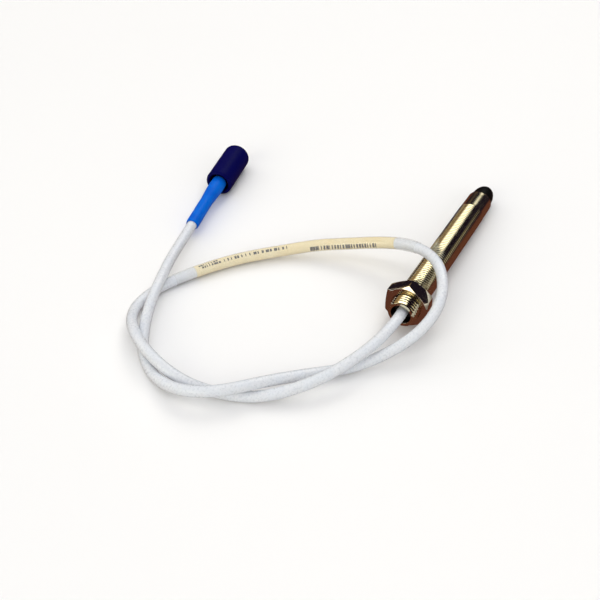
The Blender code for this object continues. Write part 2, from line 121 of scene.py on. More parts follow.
BLUE_SLEEVE_SWELLING_START = 8.5 * MM
BLUE_SLEEVE_SWELLING_LENGTH = 9.0 * MM
BLUE_SLEEVE_WALL = 0.42 * MM
BLUE_SLEEVE_EDGE = 0.6 * MM
BLUE_SLEEVE_EDGE_SHARE = 0.35
BLUE_SLEEVE_RIPPLE = 0.03 * MM
BLUE_SLEEVE_RIPPLE_LENGTHS = (1.7 * MM, 3.1 * MM)
BLUE_SLEEVE_STEP = 0.8 * MM
BLUE_SLEEVE_COLUMNS = 40

# Connector, its spans in heights from the cap's mouth
FERRULE_SPAN = (-4.0 * MM, 1.4 * MM)
FERRULE_RADII = (2.0 * MM, 2.28 * MM)
FERRULE_GROOVES = 6
FERRULE_COLUMNS = 48
COUPLING_SPAN = (6.5 * MM, 17.0 * MM)
COUPLING_COLUMNS = 180
COUPLING_SHARP_ANGLE = 30
KNURL_LENGTH = 6.2 * MM
KNURL_TEETH = 30
KNURL_DEPTH = 0.22 * MM

# Dust cap
CAP_LENGTH = 21.4 * MM
CAP_RADIUS = 5.15 * MM
CAP_BORE_RADIUS = 3.9 * MM
CAP_END_WALL = 1.6 * MM
CAP_END_ROUNDING = 2.2 * MM
CAP_RIM_ROUNDING = 1.0 * MM
CAP_BORE_ROUNDING = 0.5 * MM
CAP_COLUMNS = 72
CAP_SHARP_ANGLE = 50

# Route of the cable's centre line in millimetres, from the recess in the case to the connector
CABLE_ROUTE_MM = [
    (-49.0, 0.4, 8.9),
    (-54.0, 1.3, 8.5),
    (-64.5, 4.7, 7.6),
    (-74.5, 10.0, 6.3),
    (-82.5, 17.5, 4.0),
    (-88.5, 26.5, 2.1),
    (-92.0, 36.5, 1.9),
    (-93.5, 47.5, 2.6),
    (-93.0, 57.5, 5.4),
    (-88.5, 68.0, 6.1),
    (-80.5, 77.0, 4.2),
    (-71.0, 81.0, 2.0),
    (-60.5, 79.0, 2.0),
    (-50.9, 73.8, 2.35),
    (-41.3, 67.4, 2.35),
    (-32.8, 59.9, 2.5),
    (-25.5, 51.5, 3.0),
    (-19.5, 42.5, 4.4),
    (-15.3, 32.0, 6.4),
    (-12.6, 21.0, 9.2),
    (-12.7, 9.7, 12.4),
    (-17.5, -0.4, 14.7),
    (-26.5, -7.5, 14.5),
    (-36.9, -10.1, 11.9),
    (-46.6, -7.5, 7.8),
    (-55.5, -1.5, 4.3),
    (-63.5, 5.7, 2.3),
    (-70.5, 14.0, 1.9),
    (-78.5, 21.5, 3.4),
    (-88.0, 28.5, 5.8),
    (-95.5, 36.5, 6.2),
    (-98.5, 46.0, 4.9),
    (-96.0, 57.0, 2.3),
    (-90.0, 65.5, 1.9),
    (-81.5, 71.5, 3.2),
    (-72.0, 75.3, 5.6),
    (-61.0, 79.0, 6.0),
    (-50.0, 82.5, 5.4),
    (-39.0, 85.2, 4.9),
    (-28.5, 87.6, 4.6),
    (-17.5, 89.9, 4.8),
]

joints = {joint["name"]: joint for joint in frame["joints"]}
probe_axis = Vector(joints["jam_nut_travel"]["axis"]).normalized()
nut_low, nut_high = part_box("jam_nut")
probe_rear = (nut_low + nut_high) / 2 - probe_axis * sum(NUT_SPAN) / 2
connector_axis = Vector(joints["coupling_nut_spin"]["axis"]).normalized()
cap_mouth = Vector(joints["coupling_nut_spin"]["pos_m"])


def axis_matrix(origin, axis):
    """A frame whose Z runs along an axis, with its X pointing down."""
    across = Vector((0.0, 0.0, 1.0)).cross(axis).normalized()
    down = across.cross(axis)
    turn = Matrix((down, across, axis)).transposed()
    return Matrix.Translation(origin) @ turn.to_4x4()


PROBE = axis_matrix(probe_rear, probe_axis)
CONNECTOR = axis_matrix(cap_mouth, connector_axis)


# ---------------------------------------------------------------- camera

CAMERA_PLACE = (-0.2299, -0.06591, 0.19758)
CAMERA_LOOK = (0.64437, 0.34985, -0.67999)
CAMERA_LENS = 51.6
CAMERA_SENSOR = 36.0


def place_camera():
    """The photo's view, from a fit to the nut's corners and the case's outlines."""
    data = bpy.data.cameras.new("camera")
    data.lens = CAMERA_LENS
    data.sensor_width = CAMERA_SENSOR
    data.clip_start = 0.01
    data.clip_end = 20.0
    camera = bpy.data.objects.new("camera", data)
    camera.location = CAMERA_PLACE
    camera.rotation_euler = Vector(CAMERA_LOOK).to_track_quat("-Z", "Y").to_euler()
    bpy.context.scene.collection.objects.link(camera)
    bpy.context.scene.camera = camera


place_camera()


# ---------------------------------------------------------------- mesh tools

def show(name, mesh, matrix=None):
    """Puts a mesh in the scene as a piece."""
    piece = bpy.data.objects.new(name, mesh)
    if matrix is not None:
        piece.matrix_world = matrix
    bpy.context.scene.collection.objects.link(piece)
    return piece


MERGE_DISTANCE = 0.5e-6
UV_LAYER = "along_around"


def finish_mesh(mesh, sharp_angle):
    """Merges points that coincide, turns faces outwards and shades the mesh smooth between sharp edges."""
    shape = bmesh.new()
    shape.from_mesh(mesh)
    bmesh.ops.remove_doubles(shape, verts=shape.verts, dist=MERGE_DISTANCE)
    bmesh.ops.dissolve_degenerate(shape, edges=shape.edges, dist=MERGE_DISTANCE)
    bmesh.ops.recalc_face_normals(shape, faces=shape.faces)
    shape.to_mesh(mesh)
    shape.free()
    mesh.shade_smooth()
    mesh.set_sharp_from_angle(angle=math.radians(sharp_angle))


def grid(name, rows, closed_rows, sharp_angle, uvs=None):
    """A mesh from rows of points whose last column repeats the first; closed rows join last to first."""
    rows = np.asarray(rows, dtype=float)
    count, columns = rows.shape[:2]
    faces = []
    for i in range(count if closed_rows else count - 1):
        below = i * columns
        above = (i + 1) % count * columns
        for j in range(columns - 1):
            faces.append((below + j, below + j + 1, above + j + 1, above + j))
    mesh = bpy.data.meshes.new(name)
    mesh.from_pydata(rows.reshape(-1, 3).tolist(), [], faces)
    if uvs is not None:
        layer = mesh.uv_layers.new(name=UV_LAYER)
        flat = np.asarray(uvs, dtype=np.float32).reshape(-1, 2)
        corners = np.empty(len(mesh.loops), dtype=np.int32)
        mesh.loops.foreach_get("vertex_index", corners)
        layer.data.foreach_set("uv", flat[corners].ravel())
    finish_mesh(mesh, sharp_angle)
    return mesh


def around(columns):
    """The angles of the columns, the last one a full turn on from the first."""
    return np.linspace(0.0, math.tau, columns + 1)


def turned(name, profile, columns=64, closed_rows=True, sharp_angle=35):
    """A mesh turned about Z from (radius, height) points."""
    angles = around(columns)
    rows = [[(r * math.cos(a), r * math.sin(a), z) for a in angles] for r, z in profile]
    return grid(name, rows, closed_rows, sharp_angle)


def arc(centre, radius, start, end, count):
    """Points of an arc in the (radius, height) plane, angles in degrees from the radial direction."""
    angles = np.radians(np.linspace(start, end, count + 1))
    return [(centre[0] + radius * math.cos(a), centre[1] + radius * math.sin(a)) for a in angles]


def rounded(points, radius, steps=3):
    """The same open outline with each inner corner cut by a small arc."""
    out = [points[0]]
    for before, corner, after in zip(points, points[1:], points[2:]):
        before, corner, after = Vector(before), Vector(corner), Vector(after)
        reach_in = min(radius, (before - corner).length / 2.1)
        reach_out = min(radius, (after - corner).length / 2.1)
        first = corner + (before - corner).normalized() * reach_in
        last = corner + (after - corner).normalized() * reach_out
        for step in range(steps + 1):
            t = step / steps
            out.append(tuple(first * (1 - t) ** 2 + corner * 2 * t * (1 - t) + last * t**2))
    out.append(points[-1])
    return out


# One turn of the thread as (share of the pitch, share of the depth): a rounded root, flanks at about
# 28 degrees from square and a narrow crest with broken edges
THREAD_DEPTH = 0.573 * MM
THREAD_TURN = [
    (-0.125, 0.0),
    (0.0, -0.05),
    (0.125, 0.0),
    (0.38, 0.90),
    (0.43, 1.0),
    (0.57, 1.0),
    (0.62, 0.90),
]


def thread(columns, low, high, clearance):
    """Radii and heights of a screw thread about Z, by row and column, past both ends of its span."""
    angles = around(columns)
    first = math.floor(low / PITCH) - 2
    last = math.ceil(high / PITCH) + 1
    radii, heights = [], []
    for turn in range(first, last + 1):
        for share, depth in THREAD_TURN:
            radius = MAJOR_RADIUS - THREAD_DEPTH * (1.0 - depth) + clearance
            radii.append(np.full(columns + 1, radius))
            heights.append((turn + share + angles / math.tau) * PITCH)
    return np.array(radii), np.array(heights)


def to_points(radii, heights, columns):
    """Points from rows of radii and heights about Z."""
    angles = around(columns)
    return np.stack([radii * np.cos(angles), radii * np.sin(angles), heights], axis=-1)


# ---------------------------------------------------------------- cable line

def spline_through(points):
    """A natural cubic spline through the points: dense samples and their distance along it."""
    points = np.array(points, dtype=float)
    knots = np.concatenate([[0.0], np.cumsum(np.linalg.norm(np.diff(points, axis=0), axis=1))])
    gaps = np.diff(knots)
    count = len(points)
    system = np.eye(count)
    right = np.zeros_like(points)
    for i in range(1, count - 1):
        system[i, i - 1] = gaps[i - 1]
        system[i, i] = 2 * (gaps[i - 1] + gaps[i])
        system[i, i + 1] = gaps[i]
        slope_after = (points[i + 1] - points[i]) / gaps[i]
        slope_before = (points[i] - points[i - 1]) / gaps[i - 1]
        right[i] = 6 * (slope_after - slope_before)
    bend = np.linalg.solve(system, right)
    samples = []
    for i in range(count - 1):
        for t in np.linspace(0.0, 1.0, SAMPLES_PER_GAP, endpoint=False):
            a, b, h = 1 - t, t, gaps[i]
            straight = a * points[i] + b * points[i + 1]
            samples.append(straight + ((a**3 - a) * bend[i] + (b**3 - b) * bend[i + 1]) * h * h / 6)
    samples.append(points[-1])
    samples = np.array(samples)
    return samples, np.concatenate([[0.0], np.cumsum(np.linalg.norm(np.diff(samples, axis=0), axis=1))])


def stretch(samples, along, start, end, step):
    """Evenly spaced points of the line between two distances along it, with those distances."""
    wanted = np.linspace(start, end, round((end - start) / step) + 1)
    points = np.stack([np.interp(wanted, along, samples[:, k]) for k in range(3)], axis=1)
    return points, wanted


def cable_line():
    """The cable's centre line, kept above the surface that it lies on."""
    route = [probe_rear + probe_axis * CABLE_START, probe_rear - probe_axis * CABLE_STRAIGHT_REAR]
    route += [Vector(point) * MM for point in CABLE_ROUTE_MM]
    for height in (CABLE_END - CABLE_STRAIGHT_FRONT, CABLE_END):
        route.append(cap_mouth + connector_axis * height)
    samples, along = spline_through(route)
    start, end = (share * along[-1] for share in CLEAR_SLEEVE_SPAN)
    covered = (along > start) & (along < end)
    lowest = np.where(covered, CLEAR_SLEEVE_RADII[1], CABLE_RADIUS) + FLOOR_GAP
    samples[:, 2] = np.maximum(samples[:, 2], lowest)
    return samples, along


def tube_rows(points, radii, columns):
    """Rings round a line: the first column is on top, and a quarter turn on is right of the way it runs."""
    tangents = np.gradient(points, axis=0)
    tangents /= np.linalg.norm(tangents, axis=1)[:, None]
    sides = np.cross(tangents, (0.0, 0.0, 1.0))
    sides /= np.linalg.norm(sides, axis=1)[:, None]
    ups = np.cross(sides, tangents)
    angles = around(columns)
    upwards = np.cos(angles)[None, :, None] * ups[:, None, :]
    ring = upwards + np.sin(angles)[None, :, None] * sides[:, None, :]
    return points[:, None, :] + ring * np.asarray(radii)[:, None, None]


def tube_uvs(distances, columns):
    """Centimetres along the tube and, round the cable's own radius, centimetres from its top line."""
    angles = around(columns)
    turns = np.where(angles > math.pi, angles - math.tau, angles)
    turns[-1] = 0.0
    along_grid, around_grid = np.meshgrid(distances * 100, turns * CABLE_RADIUS * 100, indexing="ij")
    return np.stack([along_grid, around_grid], axis=-1)


TUBE_SHARP_ANGLE = 60


def solid_tube(name, points, distances, radii, columns):
    """A round bar along a line, with flat ends."""
    rows = tube_rows(points, radii, columns)
    first = np.repeat(points[:1], columns + 1, axis=0)
    last = np.repeat(points[-1:], columns + 1, axis=0)
    rows = np.concatenate([first[None], rows, last[None]])
    distances = np.concatenate([distances[:1], distances, distances[-1:]])
    return grid(name, rows, False, TUBE_SHARP_ANGLE, tube_uvs(distances, columns))


def sheath(name, points, distances, inner, outer, columns):
    """An open-ended skin round a line, with a wall between its inner and outer radii."""
    rows = np.concatenate([tube_rows(points, outer, columns), tube_rows(points, inner, columns)[::-1]])
    marks = np.concatenate([distances, distances[::-1]])
    return grid(name, rows, True, TUBE_SHARP_ANGLE, tube_uvs(marks, columns))


# ---------------------------------------------------------------- materials

def add_node(tree, kind, inputs, output=0, **settings):
    """Adds a shader node with its settings and inputs, which are values or other nodes' outputs."""
    made = tree.nodes.new(kind)
    for key, value in settings.items():
        setattr(made, key, value)
    for key, value in inputs.items():
        if isinstance(value, bpy.types.NodeSocket):
            tree.links.new(value, made.inputs[key])
        else:
            made.inputs[key].default_value = value
    return made.outputs[output]


class Look:
    """A procedural material: its Principled shader, and short ways to add nodes to it."""

    def __init__(self, name, colour, roughness, metallic=0.0, **direct):
        self.material = bpy.data.materials.new(name)
        self.material.use_nodes = True
        self.tree = self.material.node_tree
        self.shader = self.tree.nodes["Principled BSDF"]
        self.shader.inputs["Base Color"].default_value = (*colour, 1.0)
        self.shader.inputs["Roughness"].default_value = roughness
        self.shader.inputs["Metallic"].default_value = metallic
        for key, value in direct.items():
            socket = key.replace("_", " ").title().replace("Ior", "IOR")
            self.shader.inputs[socket].default_value = value
        self.place = self.tree.nodes.new("ShaderNodeTexCoord").outputs["Object"]

    def node(self, kind, inputs, output=0, **settings):
        return add_node(self.tree, kind, inputs, output, **settings)

    def math(self, operation, first, second=0.0):
        return self.node("ShaderNodeMath", {0: first, 1: second}, operation=operation)

    def scaled(self, x, y, z):
        return self.node("ShaderNodeMapping", {"Vector": self.place, "Scale": (x, y, z)})

    def noise(self, scale, detail=3.0, vector=None):
        inputs = {"Vector": vector or self.place, "Scale": scale, "Detail": detail}
        return self.node("ShaderNodeTexNoise", inputs)

    def first_two(self, vector):
        """The first two parts of a vector."""
        split = self.node("ShaderNodeSeparateXYZ", {0: vector}).node
        return split.outputs[0], split.outputs[1]

    def ramp(self, value, low, high, to_low=0.0, to_high=1.0):
        inputs = {"Value": value, "From Min": low, "From Max": high, "To Min": to_low, "To Max": to_high}
        return self.node("ShaderNodeMapRange", inputs, interpolation_type="SMOOTHSTEP")

    def mix(self, factor, first, second):
        """A blend of two colours, each an (r, g, b) or another node's output."""
        ends = [end if isinstance(end, bpy.types.NodeSocket) else (*end, 1.0) for end in (first, second)]
        return self.node("ShaderNodeMix", {0: factor, 6: ends[0], 7: ends[1]}, 2, data_type="RGBA")

    def band(self, value, low, high):
        """1 between two values and 0 outside them."""
        above = self.math("GREATER_THAN", value, low)
        return self.math("MULTIPLY", above, self.math("LESS_THAN", value, high))

    def colour(self, socket):
        self.tree.links.new(socket, self.shader.inputs["Base Color"])

    def roughness(self, socket):
        self.tree.links.new(socket, self.shader.inputs["Roughness"])

    def bump(self, height, distance):
        inputs = {"Height": height, "Distance": distance, "Strength": 1.0}
        self.tree.links.new(self.node("ShaderNodeBump", inputs), self.shader.inputs["Normal"])


SCRATCH_SCALE = (600, 600, 6000)
STEEL_COLOUR = (0.88, 0.81, 0.58)
NUT_COLOUR = (0.82, 0.75, 0.60)
GOLD_COLOUR = (0.85, 0.62, 0.26)
PAINTED_BORE_SHADE_COLOUR = (0.03, 0.026, 0.02)
INK_COLOUR = (0.012, 0.008, 0.006)


def darker(colour, share):
    """A colour with each part brought down to a share of itself."""
    return tuple(part * share for part in colour)


def bare_metal(name, colour, roughness, low, high, cloud_scale, scratch_depth):
    """A metal with clouds in its colour, a roughness between low and high, and fine scratches."""
    look = Look(name, colour, roughness, 1.0)
    clouds = look.noise(cloud_scale, 4.0)
    look.colour(look.mix(clouds, colour, darker(colour, 0.9)))
    scratches = look.noise(1.0, 2.0, look.scaled(*SCRATCH_SCALE))
    mixed = look.math("ADD", look.math("MULTIPLY", clouds, 0.5), look.math("MULTIPLY", scratches, 0.5))
    look.roughness(look.ramp(mixed, 0.3, 0.7, low, high))
    look.bump(scratches, scratch_depth)
    return look.material


def case_steel():
    """Turned steel, more satin on its plain front, its bore wall coloured dark as painted shade."""
    look = Look("case_steel", STEEL_COLOUR, 0.18, 1.0)
    clouds = look.noise(260, 4.0)
    scratches = look.noise(1.0, 2.0, look.scaled(*SCRATCH_SCALE))
    radial = look.scaled(1.0, 1.0, 0.0)
    from_axis = look.node("ShaderNodeVectorMath", {0: radial}, 1, operation="LENGTH")
    steel = look.mix(clouds, STEEL_COLOUR, darker(STEEL_COLOUR, 0.88))
    # Painted shade: near the axis, on the bore's wall, the steel gives way to a near-black colour
    outside = look.ramp(from_axis, *PAINTED_BORE_SHADE_EDGE)
    look.colour(look.mix(outside, PAINTED_BORE_SHADE_COLOUR, steel))
    along = look.node("ShaderNodeSeparateXYZ", {0: look.place}, 2)
    satin = look.ramp(along, THREAD_END - 1.0 * MM, THREAD_END + 1.0 * MM, 0.0, 0.05)
    look.roughness(look.math("ADD", look.ramp(clouds, 0.3, 0.7, 0.08, 0.15), satin))
    look.bump(scratches, 0.001 * MM)
    return look.material


def moulded(name, colour, roughness, grain, specular=0.5):
    """A moulded plastic with a fine grain and a faint unevenness of colour."""
    look = Look(name, colour, roughness, specular_ior_level=specular)
    clouds = look.noise(180, 3.0)
    look.colour(look.mix(clouds, colour, darker(colour, 0.75)))
    fine = look.noise(grain, 3.0)
    look.roughness(look.ramp(fine, 0.3, 0.7, roughness - 0.06, roughness + 0.08))
    look.bump(look.math("ADD", fine, look.math("MULTIPLY", clouds, 2.0)), 0.008 * MM)
    return look.material


def braided(look, strands, pitch, place):
    """Height of a braid: two sets of strands that cross over each other; place is along and around."""
    along, across = look.first_two(place)
    turn = look.math("MULTIPLY", across, strands)
    run = look.math("MULTIPLY", along, pitch)
    one = look.math("SINE", look.math("ADD", turn, run))
    other = look.math("SINE", look.math("SUBTRACT", turn, run))
    both = look.math("ADD", look.math("ABSOLUTE", one), look.math("ABSOLUTE", other))
    return look.math("MULTIPLY", both, 0.5)


def cable_jacket():
    """A milky translucent jacket; the braid under it shows as a faint crossed weave."""
    direct = {"coat_weight": 0.35, "coat_roughness": 0.2, "subsurface_weight": 0.12}
    look = Look("cable_jacket", (0.84, 0.86, 0.89), 0.3, **direct)
    look.shader.inputs["Subsurface Radius"].default_value = (1.0, 1.0, 1.0)
    look.shader.inputs["Subsurface Scale"].default_value = 0.4 * MM
    weave = braided(look, 75.0, 95.0, look.node("ShaderNodeUVMap", {}, uv_map=UV_LAYER))
    blotches = look.noise(220, 4.0)
    flecks = look.noise(1500, 3.0)
    shade = look.math("ADD", look.math("MULTIPLY", weave, 0.45), look.math("MULTIPLY", flecks, 0.55))
    pale = look.mix(look.ramp(shade, 0.3, 0.75), (0.62, 0.65, 0.70), (0.82, 0.84, 0.87))
    blotch = look.mix(0.4, pale, (0.70, 0.75, 0.82))
    look.colour(look.mix(look.ramp(blotches, 0.42, 0.62), pale, blotch))
    look.roughness(look.ramp(flecks, 0.3, 0.7, 0.25, 0.4))
    look.bump(look.math("ADD", weave, look.math("MULTIPLY", blotches, 2.0)), 0.012 * MM)
    return look.material


# Print on the label, in millimetres: its span along the label, its span round it from the top line, and the
# width of a cell; then the share of a cell that the marks' widths vary by
LABEL_PRINT = [
    (1.4, 8.5, -0.3, 0.3, 0.95, 0.75),
    (2.0, 9.5, 0.5, 1.2, 0.9, 0.8),
    (10.7, 13.6, 0.2, 1.2, 1.3, 0.6),
    (14.6, 34.7, 0.2, 1.2, 1.5, 0.7),
    (41.5, 66.5, 1.9, 3.5, 1.0, 0.75),
]


def label_film():
    """Cream film with generic print: groups of short dashes, then a row of bars of uneven width."""
    base = (0.86, 0.70, 0.36)
    look = Look("label_film", base, 0.35, coat_weight=0.5, coat_roughness=0.15)
    place = look.node("ShaderNodeUVMap", {}, uv_map=UV_LAYER)
    along, across = (look.math("MULTIPLY", part, 10.0) for part in look.first_two(place))

    def dashes(start, end, low, high, cell, share):
        """One mark in each cell of a span, from a fifth of the cell wide."""
        inside = look.math("MULTIPLY", look.band(along, start, end), look.band(across, low, high))
        cells = look.math("DIVIDE", along, cell)
        number = {"W": look.math("FLOOR", cells)}
        chance = look.node("ShaderNodeTexWhiteNoise", number, noise_dimensions="1D")
        width = look.math("ADD", look.math("MULTIPLY", chance, share), 0.2)
        return look.math("MULTIPLY", inside, look.math("LESS_THAN", look.math("FRACT", cells), width))

    label_start = LABEL_SPAN[0] * cable_length / MM
    marks = [
        dashes(label_start + start, label_start + end, low, high, cell, share)
        for start, end, low, high, cell, share in LABEL_PRINT
    ]
    printed = marks[0]
    for mark in marks[1:]:
        printed = look.math("MAXIMUM", printed, mark)
    clouds = look.noise(150, 3.0)
    film = look.mix(clouds, base, (0.90, 0.82, 0.56))
    look.colour(look.mix(printed, film, INK_COLOUR))
    look.bump(clouds, 0.02 * MM)
    return look.material


def clear_film():
    """Thin clear heat-shrink, faintly rippled."""
    look = Look("clear_film", (0.93, 0.93, 0.90), 0.12, alpha=0.12, coat_weight=1.0, coat_roughness=0.1)
    ripples = look.noise(1.0, 3.0, look.scaled(300, 300, 300))
    look.colour(look.mix(ripples, (0.95, 0.95, 0.93), (0.86, 0.87, 0.86)))
    look.roughness(look.ramp(ripples, 0.3, 0.7, 0.08, 0.22))
    look.bump(ripples, 0.03 * MM)
    return look.material


def blue_film():
    """Satin blue heat-shrink, uneven in colour and surface."""
    base = (0.001, 0.105, 0.60)
    look = Look("blue_film", base, 0.5, specular_ior_level=0.08)
    clouds = look.noise(240, 3.0)
    look.colour(look.mix(look.ramp(clouds, 0.35, 0.65), base, (0.001, 0.135, 0.66)))
    fine = look.noise(1800, 3.0)
    look.roughness(look.ramp(fine, 0.3, 0.7, 0.3, 0.45))
    look.bump(look.math("ADD", fine, look.math("MULTIPLY", clouds, 4.0)), 0.012 * MM)
    return look.material


def wound_copper():
    """Enamelled wire, turn beside turn along Z, each turn coloured lighter on its crest and darker in the
    grooves between turns, as painted sheen and shade.
    """
    look = Look("copper", (0.72, 0.34, 0.16), 0.3, 1.0, coat_weight=0.4, coat_roughness=0.15)
    inputs = {"Vector": look.place, "Scale": 1200.0, "Distortion": 0.4}
    wires = look.node("ShaderNodeTexWave", inputs, 1, bands_direction="X")
    # Painted sheen and shade: lighter on the crest of each turn, darker in the grooves between turns
    look.colour(look.mix(wires, (0.50, 0.20, 0.08), (0.80, 0.40, 0.20)))
    look.roughness(look.ramp(look.noise(900), 0.3, 0.7, 0.22, 0.38))
    look.bump(wires, 0.03 * MM)
    return look.material


def woven_metal():
    """Tinned strands that cross over each other, coloured darker in the low places between them as painted
    shade.
    """
    look = Look("braid", (0.62, 0.62, 0.61), 0.35, 1.0)
    weave = braided(look, 16.0, 16.0, look.scaled(300, 100, 100))
    # Painted shade: the weave's low places between strands get a darker colour
    look.colour(look.mix(weave, (0.25, 0.25, 0.24), (0.75, 0.75, 0.73)))
    look.roughness(look.ramp(weave, 0.2, 0.9, 0.5, 0.25))
    look.bump(weave, 0.05 * MM)
    return look.material


looks = {
    "case_steel": case_steel,
    "nut_steel": lambda: bare_metal("nut_steel", NUT_COLOUR, 0.22, 0.07, 0.13, 200, 0.001 * MM),
    "tip_plastic": lambda: moulded("tip_plastic", (0.003, 0.003, 0.0035), 0.42, 2600, 0.12),
    "bobbin_plastic": lambda: moulded("bobbin_plastic", (0.72, 0.66, 0.52), 0.5, 2200),
    "copper": wound_copper,
    "epoxy": lambda: moulded("epoxy", (0.012, 0.011, 0.011), 0.5, 900),
    "braid": woven_metal,
    "inner_plastic": lambda: moulded("inner_plastic", (0.86, 0.86, 0.83), 0.4, 2000),
    "cable_jacket": cable_jacket,
    "label_film": label_film,
    "clear_film": clear_film,
    "blue_film": blue_film,
    "gold_plate": lambda: bare_metal("gold_plate", GOLD_COLOUR, 0.2, 0.14, 0.28, 400, 0.002 * MM),
    "seal_rubber": lambda: moulded("seal_rubber", (0.30, 0.06, 0.05), 0.6, 1500),
    "navy_plastic": lambda: moulded("navy_plastic", (0.0008, 0.0008, 0.075), 0.5, 1300, 0.06),
}
made_looks = {}


def dress(piece, slot):
    """Gives a piece the material of one of the record's slots."""
    if slot not in made_looks:
        made_looks[slot] = looks[slot]()
    piece.data.materials.clear()
    piece.data.materials.append(made_looks[slot])


def stand_for(piece, node, slot, body):
    """Puts a detailed piece in the place of a CAD node."""
    dress(piece, slot)
    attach(piece, body)
    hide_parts(node)
    return piece


# ---------------------------------------------------------------- cable and what is on it

cable_samples, cable_along = cable_line()
cable_length = float(cable_along[-1])


def make_cable():
    """The cable's round jacket, with the points of its centre line."""
    points, distances = stretch(cable_samples, cable_along, 0.0, cable_length, CABLE_STEP)
    radii = np.full(len(points), CABLE_RADIUS)
    mesh = solid_tube("cable_jacket_line", points, distances, radii, CABLE_COLUMNS)
    cable = stand_for(show("coax_cable", mesh), "cable", "cable_jacket", "probe")
    return cable, points


def make_film(name, node, slot, span, radii, tightening):
    """A film round the cable, tighter towards its ends."""
    start, end = (share * cable_length for share in span)
    points, distances = stretch(cable_samples, cable_along, start, end, FILM_STEP)
    from_end = np.minimum(distances - start, end - distances)
    near_end = np.clip(1 - from_end / CLEAR_SLEEVE_END, 0, 1)
    inner, outer = (radius - near_end**2 * tightening for radius in radii)
    mesh = sheath(name, points, distances, inner, outer, FILM_COLUMNS)
    return stand_for(show(name, mesh), node, slot, "probe")


def make_films():
    """The label, and the clear sleeve over it, which has no label under its ends."""
    sleeve = (CLEAR_SLEEVE_SPAN, CLEAR_SLEEVE_RADII, CLEAR_SLEEVE_TIGHTENING)
    return [
        make_film("printed_label", "label", "label_film", LABEL_SPAN, LABEL_RADII, 0.0),
        make_film("clear_heat_shrink", "clear_sleeve", "clear_film", *sleeve),
    ]


def make_blue_sleeve():
    """Heat-shrink that grips the cable, swells over the crimp ferrule and runs into the cap's mouth."""
    start = cable_length - BLUE_SLEEVE_LENGTH
    points, _ = stretch(cable_samples, cable_along, start, cable_length, BLUE_SLEEVE_STEP)
    front = np.array(cap_mouth + connector_axis * BLUE_SLEEVE_FRONT)
    extra = [points[-1] + (front - points[-1]) * t for t in (0.33, 0.66, 1.0)]
    points = np.vstack([points, extra])
    distances = np.concatenate([[0.0], np.cumsum(np.linalg.norm(np.diff(points, axis=0), axis=1))])
    from_mouth = (points - np.array(cap_mouth)) @ np.array(connector_axis)
    from_start = from_mouth - FERRULE_SPAN[0] + BLUE_SLEEVE_SWELLING_START
    swelling = np.clip(from_start / BLUE_SLEEVE_SWELLING_LENGTH, 0, 1)
    swelling = swelling * swelling * (3 - 2 * swelling)
    short, long = (np.sin(distances / length) for length in BLUE_SLEEVE_RIPPLE_LENGTHS)
    ripple = BLUE_SLEEVE_RIPPLE * short * long
    inner = BLUE_SLEEVE_RADIUS + swelling * BLUE_SLEEVE_SWELLING + ripple * 0.5
    outer = inner + BLUE_SLEEVE_WALL + ripple * 0.5
    edge = np.clip(distances / BLUE_SLEEVE_EDGE, 0, 1)
    share = BLUE_SLEEVE_EDGE_SHARE + (1 - BLUE_SLEEVE_EDGE_SHARE) * np.sqrt(edge)
    outer = inner + (outer - inner) * share
    mesh = sheath("blue_heat_shrink", points, distances, inner, outer, BLUE_SLEEVE_COLUMNS)
    return stand_for(show("blue_heat_shrink", mesh), "blue_sleeve", "blue_film", "probe")


def make_ferrule():
    """The crimp ferrule, a tube with shallow grooves."""
    low, high = FERRULE_SPAN
    inner, outer = FERRULE_RADII
    edge, groove, groove_depth = 0.1 * MM, 0.2 * MM, 0.06 * MM
    outline = [(inner, low), (outer - edge, low), (outer, low + edge)]
    for i in range(FERRULE_GROOVES):
        middle = low + (high - low) * (i + 0.7) / (FERRULE_GROOVES + 0.4)
        outline += [(outer, middle - groove), (outer - groove_depth, middle), (outer, middle + groove)]
    outline += [(outer, high - edge), (outer - edge, high), (inner, high)]
    ferrule = show("ferrule", turned("ferrule", outline, FERRULE_COLUMNS), CONNECTOR)
    return stand_for(ferrule, "crimp_ferrule", "gold_plate", "probe")


def make_coupling_nut():
    """The coupling nut: a knurled grip, a neck and a plain collar, open at both ends."""
    back, front = COUPLING_SPAN
    knurl_end = back + KNURL_LENGTH
    angles = around(COUPLING_COLUMNS)
    bite = 0.5 + 0.5 * np.cos(angles * KNURL_TEETH)
    # Radius in millimetres, height, and 1 where the knurl cuts
    profile = [
        (2.4, back, 0.0),
        (3.25, back, 0.0),
        (3.45, back + 0.25 * MM, 1.0),
        (3.5, back + 0.5 * MM, 1.0),
        (3.5, knurl_end - 0.4 * MM, 1.0),
        (3.4, knurl_end - 0.1 * MM, 1.0),
        (3.15, knurl_end, 0.0),
        (3.15, knurl_end + 0.5 * MM, 0.0),
        (3.42, knurl_end + 0.7 * MM, 0.0),
        (3.42, front - 0.4 * MM, 0.0),
        (3.2, front, 0.0),
        (2.75, front, 0.0),
        (2.6, front - 0.2 * MM, 0.0),
        (2.6, 10.0 * MM, 0.0),
        (2.6, 9.2 * MM, 0.0),
        (2.6, 7.6 * MM, 0.0),
        (2.4, 7.6 * MM, 0.0),
    ]
    rows = []
    for radius, height, knurled in profile:
        radii = radius * MM - knurled * KNURL_DEPTH * bite
        points = [radii * np.cos(angles), radii * np.sin(angles), np.full_like(angles, height)]
        rows.append(np.stack(points, axis=1))
    mesh = grid("knurled_nut", rows, True, COUPLING_SHARP_ANGLE)
    stand_for(show("knurled_nut", mesh, CONNECTOR), "coupling_nut", "gold_plate", "coupling_nut")


